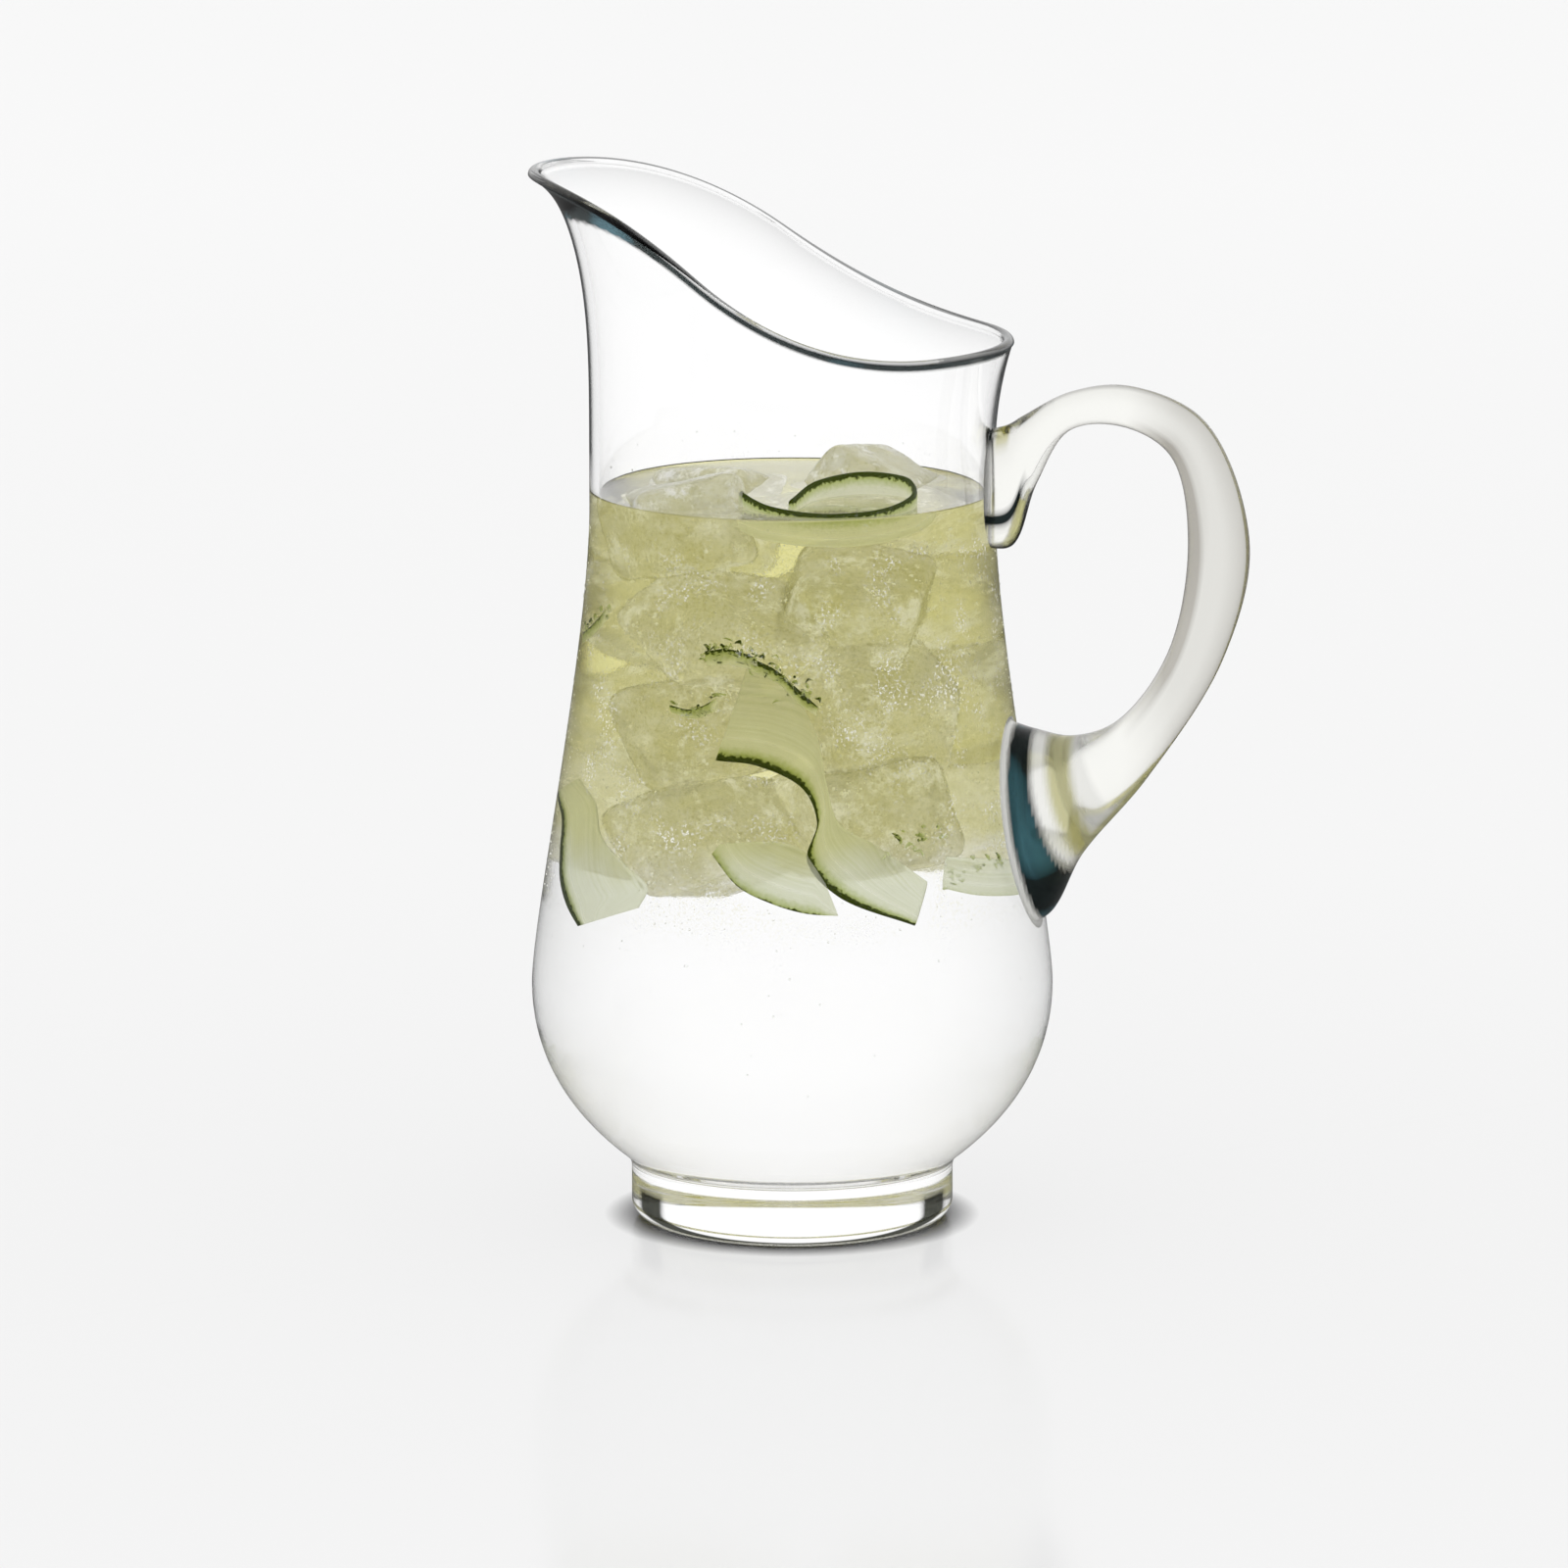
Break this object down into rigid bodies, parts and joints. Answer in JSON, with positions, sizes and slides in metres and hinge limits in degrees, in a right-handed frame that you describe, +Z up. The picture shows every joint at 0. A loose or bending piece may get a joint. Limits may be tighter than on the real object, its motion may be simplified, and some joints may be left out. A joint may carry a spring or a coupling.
{
  "type": "glass pitcher",
  "caption": "Footed clear glass pitcher with a swept rim, pouring lip and drawn loop handle, filled with iced cucumber water.",
  "frame": {"origin": "centre of the foot's flat underside", "axes": "+Z up along the axis of the bowl, +X towards the handle, -X towards the pouring lip"},
  "size_m": [0.2073, 0.1488, 0.3009],
  "materials": {
    "clear_glass": "polished",
    "water": "polished",
    "ice": "satin",
    "cucumber": "satin"
  },
  "bodies": {
    "root": {"foot": "clear_glass", "blown_body": "clear_glass", "handle": "clear_glass", "drink": "water", "ice_1_1": "ice", "ice_1_2": "ice", "ice_1_3": "ice", "ice_1_4": "ice", "ice_2_1": "ice", "ice_2_2": "ice", "ice_2_3": "ice", "ice_3_1": "ice", "ice_3_2": "ice", "ice_3_3": "ice", "ice_3_4": "ice", "ice_4_1": "ice", "ice_4_2": "ice", "ice_4_3": "ice", "ice_4_4": "ice", "cucumber_wave": "cucumber", "cucumber_curl": "cucumber", "cucumber_side": "cucumber", "cucumber_tip": "cucumber", "cucumber_loop": "cucumber"}
  },
  "joints": []
}
